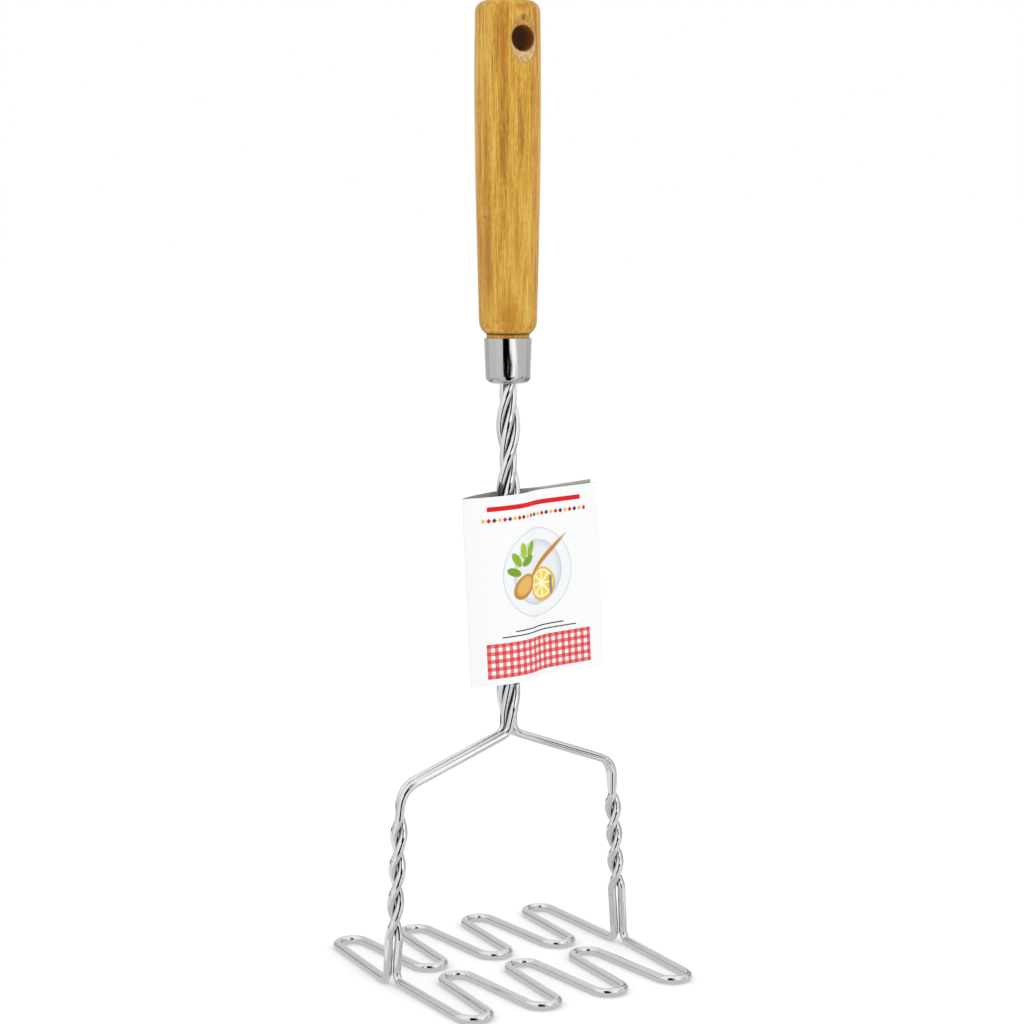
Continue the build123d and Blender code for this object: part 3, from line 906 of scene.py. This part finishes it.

# %% Bare grey inside with painted shade, plain back, and the sheen of coated board
fibre_size = 0.5
outer = add_node(tree, "ShaderNodeMath", {0: side, 1: 0.5}, operation="GREATER_THAN")
back = add_node(tree, "ShaderNodeMath", {0: side, 1: 1.5}, operation="GREATER_THAN")
clouds = add_node(tree, "ShaderNodeTexNoise", {"Vector": place, "Scale": 1 / fibre_size, "Detail": 2.0})
# The inside is grey board, made darker still as painted shade inside the fold
board_and_painted_shade = add_node(tree, "ShaderNodeMix", {
    0: clouds.outputs["Fac"], 6: colour("9A9C8E"), 7: colour("A9AB9F"),
}, data_type="RGBA")
plain = add_node(tree, "ShaderNodeMix", {
    0: back.outputs[0], 6: shown, 7: colour("EAEBEC"),
}, data_type="RGBA")
face = add_node(tree, "ShaderNodeMix", {
    0: outer.outputs[0], 6: board_and_painted_shade.outputs[2], 7: plain.outputs[2],
}, data_type="RGBA")
gloss = add_node(tree, "ShaderNodeMapRange", {"Value": outer.outputs[0], "To Min": 0.8, "To Max": 0.42})
relief = add_node(tree, "ShaderNodeBump", {
    "Height": clouds.outputs["Fac"], "Strength": 0.05, "Distance": 0.02 * MM,
})
coated = add_node(tree, "ShaderNodeBsdfPrincipled", {
    "Base Color": face.outputs[2], "Roughness": gloss.outputs["Result"], "Specular IOR Level": 0.2,
    "Normal": relief.outputs["Normal"],
})
add_node(tree, "ShaderNodeOutputMaterial", {"Surface": coated.outputs["BSDF"]})
card_mesh.materials.append(printed)
print("board fibres", fibre_size, "mm")

# %% [markdown]
# ## Staple
# A staple is bent from zinc-coated wire. Zinc is duller and bluer than chrome, and blotched.

# %% Zinc-coated staple wire
blotch = 0.7 * MM

zinc, tree = new_material("zinc_coated_staple_wire")
spot = add_node(tree, "ShaderNodeTexCoord")
blotches = add_node(tree, "ShaderNodeTexNoise", {
    "Vector": spot.outputs["Object"], "Scale": 1 / blotch, "Detail": 2.0,
})
dull = add_node(tree, "ShaderNodeMapRange", {
    "Value": blotches.outputs["Fac"], "To Min": 0.22, "To Max": 0.5,
})
metal = add_node(tree, "ShaderNodeBsdfPrincipled", {
    "Base Color": colour("A9ADB2"), "Metallic": 1.0, "Roughness": dull.outputs["Result"],
})
add_node(tree, "ShaderNodeOutputMaterial", {"Surface": metal.outputs["BSDF"]})
nodes["label_staple"].data.materials[0] = zinc

# %% [markdown]
# ## Floor, light and surroundings
# Bright metal shows only what stands round it. In an all-white room it would vanish, so a
# photographer puts a tent of white and black panels round it. Here the tent is one ring, seen
# by reflections alone, and what the camera sees behind the masher stays plain white paper.

# %% Floor
floor_mesh = bpy.data.meshes.new("floor")
half = 40.0
corners = [(-half, -half, 0), (half, -half, 0), (half, half, 0), (-half, half, 0)]
floor_mesh.from_pydata(corners, [], [(0, 1, 2, 3)])
floor = bpy.data.objects.new("floor", floor_mesh)
bpy.context.scene.collection.objects.link(floor)
pale, tree = new_material("matt_white_paper_floor")
path = add_node(tree, "ShaderNodeLightPath")
matt = add_node(tree, "ShaderNodeBsdfPrincipled", {
    "Base Color": colour("FCFCFC"), "Roughness": 0.9, "Specular IOR Level": 0.0,
})
even = add_node(tree, "ShaderNodeEmission", {"Color": colour("FFFFFF"), "Strength": 0.7})
paper = add_node(tree, "ShaderNodeMixShader", {
    0: path.outputs["Is Glossy Ray"], 1: matt.outputs["BSDF"], 2: even.outputs["Emission"],
})
add_node(tree, "ShaderNodeOutputMaterial", {"Surface": paper.outputs["Shader"]})
floor_mesh.materials.append(pale)
print("the floor is", 2 * half, "m wide, so that its edge is out of sight")

# %% Surroundings
world = bpy.data.worlds.new("white_studio")
bpy.context.scene.world = world
world.use_nodes = True
tree = world.node_tree
tree.nodes.clear()
path = add_node(tree, "ShaderNodeLightPath")
seen = add_node(tree, "ShaderNodeBackground", {"Color": colour("FFFFFF"), "Strength": 1.0})
lighting = add_node(tree, "ShaderNodeBackground", {"Color": colour("FFFFFF"), "Strength": 1.03})
overhead = add_node(tree, "ShaderNodeBackground", {"Color": colour("FFFFFF"), "Strength": 1.15})
mirrored = add_node(tree, "ShaderNodeMixShader", {
    0: path.outputs["Is Glossy Ray"], 1: lighting.outputs["Background"], 2: overhead.outputs["Background"],
})
either = add_node(tree, "ShaderNodeMixShader", {
    0: path.outputs["Is Camera Ray"], 1: mirrored.outputs["Shader"], 2: seen.outputs["Background"],
})
add_node(tree, "ShaderNodeOutputWorld", {"Surface": either.outputs["Shader"]})
bpy.context.scene.view_settings.view_transform = "Standard"
print("white above, brighter for reflections than for the camera")


# %% Softboxes
def around_masher(azimuth, distance, height):
    """A place round the masher. Azimuth is in degrees to the right of the camera."""
    heading = math.atan2(camera_place.y, camera_place.x) + math.radians(azimuth)
    return Vector((math.cos(heading) * distance, math.sin(heading) * distance, height))


aim_point = Vector((0, 0, 0.16))
for name, azimuth, distance, height, width, tall, power in (
    ("key_softbox", 42, 1.0, 0.6, 0.5, 0.9, 1.7),
    ("fill_softbox", -75, 1.2, 0.7, 0.9, 0.9, 0.9),
):
    lamp_data = bpy.data.lights.new(name, "AREA")
    lamp_data.shape = "RECTANGLE"
    lamp_data.size, lamp_data.size_y = width, tall
    lamp_data.energy = power
    lamp = bpy.data.objects.new(name, lamp_data)
    lamp.location = around_masher(azimuth, distance, height)
    lamp.rotation_euler = (aim_point - lamp.location).to_track_quat("-Z", "Y").to_euler()
    lamp.visible_camera = False
    lamp.visible_glossy = False
    bpy.context.scene.collection.objects.link(lamp)
    print(name, "at", [round(c, 2) for c in lamp.location])

# %% Cloth and cards of the tent
tent_radius = 0.26
# Panels of cloth by azimuth to the right of the camera: from, to, and their brightness over
# the floor, low on the wall, halfway up and at the top.
panels = (
    (-180, -152, 1.0, 0.74, 0.8, 1.0), (-150, -108, 0.95, 0.7, 0.78, 0.95),
    (-106, -62, 1.0, 0.82, 1.03, 1.1),
    (-60, -30, 1.0, 0.95, 1.12, 1.15), (-28, 45, 0.9, 0.95, 1.0, 1.15), (47, 62, 1.0, 0.9, 1.0, 1.2),
    (64, 100, 0.95, 0.85, 1.0, 1.1), (102, 146, 0.8, 0.42, 0.82, 1.0), (148, 180, 0.95, 0.85, 1.0, 1.1),
)
panel_heights = (0.1, 0.19, 0.4)
# Cards pinned over the cloth: brightness, then heights with the left and right edge at each
cards = (
    (0.0, (0.0, 0.09, 0.12, 0.16), (-14, -16, -12, -12), (18, 18, 34, 37)),
    (0.0, (0.16, 0.166, 0.17, 0.172, 0.1745, 0.1775, 0.182, 0.2),
     (-12, -22, -24, -24, -24, -24, -24, -24), (37, 10, 20, 20, 14, 7, 5, 4)),
    (0.0, (0.2, 0.22, 0.4), (-24, -22, -18), (4, 14, 20)),
    (1.95, (0.1655, 0.17, 0.1725, 0.175, 0.178, 0.182, 0.19),
     (12, 25, 24, 17, 12, 10, 9), (44, 44, 44, 44, 44, 36, 33)),
    (0.25, (0.168, 0.173), (-3, -3), (2, 2)),
    (0.0, (0.088, 0.163), (68, 75), (77, 88)),
    (0.3, (0.0, 0.085), (57, 58), (61, 62)),
    (0.2, (0.08, 0.175), (150, 148), (168, 166)),
    (0.0, (0.5, 0.95), (20, 20), (46, 46)),
    (1.35, (0.06, 0.175), (38, 38), (50, 50)),
    (1.35, (0.222, 0.34), (28, 28), (46, 46)),
    (0.05, (0.0, 0.033), (-145, -145), (-98, -98)),
)
# Cards on the floor: brightness, then the left and right edge. They fade in between two radii.
floor_cards = ((0.0, -12, 19), (0.25, 60, 68), (0.25, -70, -62))
floor_fade = (0.08, 0.13)
azimuths = np.arange(-180, 180, 2.0)
# Its line in section: out over the floor, then up, in finer steps where the ferrule mirrors it
wall_heights = np.concatenate((
    np.arange(0.0005, 0.16, 0.005), np.arange(0.16, 0.19, 0.0015),
    np.arange(0.19, 0.3, 0.005), np.linspace(0.32, 1.0, 18),
))
tent_line = [(radius, 0.0005) for radius in (0.075, 0.09, 0.12, 0.16, 0.2, 0.24)]
tent_line += [(tent_radius, height) for height in wall_heights]
print(len(panels), "panels,", len(cards), "cards,", len(azimuths) * len(tent_line), "points")


# %% Brightness of the tent
def glow_of(azimuth, radius, height):
    """How bright the tent is at one point: the cloth there, or the card pinned over it."""
    stops = [edge for panel in panels for edge in panel[:2]]
    over_floor, *on_wall = (
        np.interp(azimuth, stops, np.repeat([panel[k] for panel in panels], 2)) for k in (2, 3, 4, 5)
    )
    if height < 0.001 and radius < tent_radius:
        for card_glow, left_edge, right_edge in floor_cards:
            if left_edge <= azimuth <= right_edge:
                over_floor = np.interp(radius, floor_fade, (over_floor, card_glow))
        return over_floor
    brightness = np.interp(height, panel_heights, on_wall)
    for card_glow, heights, left_edge, right_edge in cards:
        if heights[0] <= height <= heights[-1]:
            if np.interp(height, heights, left_edge) <= azimuth <= np.interp(height, heights, right_edge):
                brightness = card_glow
    return brightness


# %% Tent of panels
tent_verts, glow = [], []
for azimuth in azimuths:
    for radius, height in tent_line:
        tent_verts.append(around_masher(azimuth, radius, height))
        glow.append(glow_of(azimuth, radius, height))
tall = len(tent_line)
tent_faces = [
    [(i + a) % len(azimuths) * tall + j + b for a, b in ((0, 0), (0, 1), (1, 1), (1, 0))]
    for i in range(len(azimuths)) for j in range(tall - 1)
]
tent_mesh = bpy.data.meshes.new("light_tent")
tent_mesh.from_pydata(tent_verts, [], tent_faces)
tent_mesh.attributes.new("glow", "FLOAT", "POINT").data.foreach_set("value", glow)
lit, tree = new_material("lit_tent_cloth")
brightness = add_node(tree, "ShaderNodeAttribute", attribute_name="glow")
shine = add_node(tree, "ShaderNodeEmission", {"Strength": brightness.outputs["Fac"]})
add_node(tree, "ShaderNodeOutputMaterial", {"Surface": shine.outputs["Emission"]})
tent_mesh.materials.append(lit)
tent = bpy.data.objects.new("light_tent", tent_mesh)
bpy.context.scene.collection.objects.link(tent)
for ray in ("camera", "diffuse", "shadow", "transmission", "volume_scatter"):
    setattr(tent, "visible_" + ray, False)
print("the tent has", len(tent_faces), "faces")
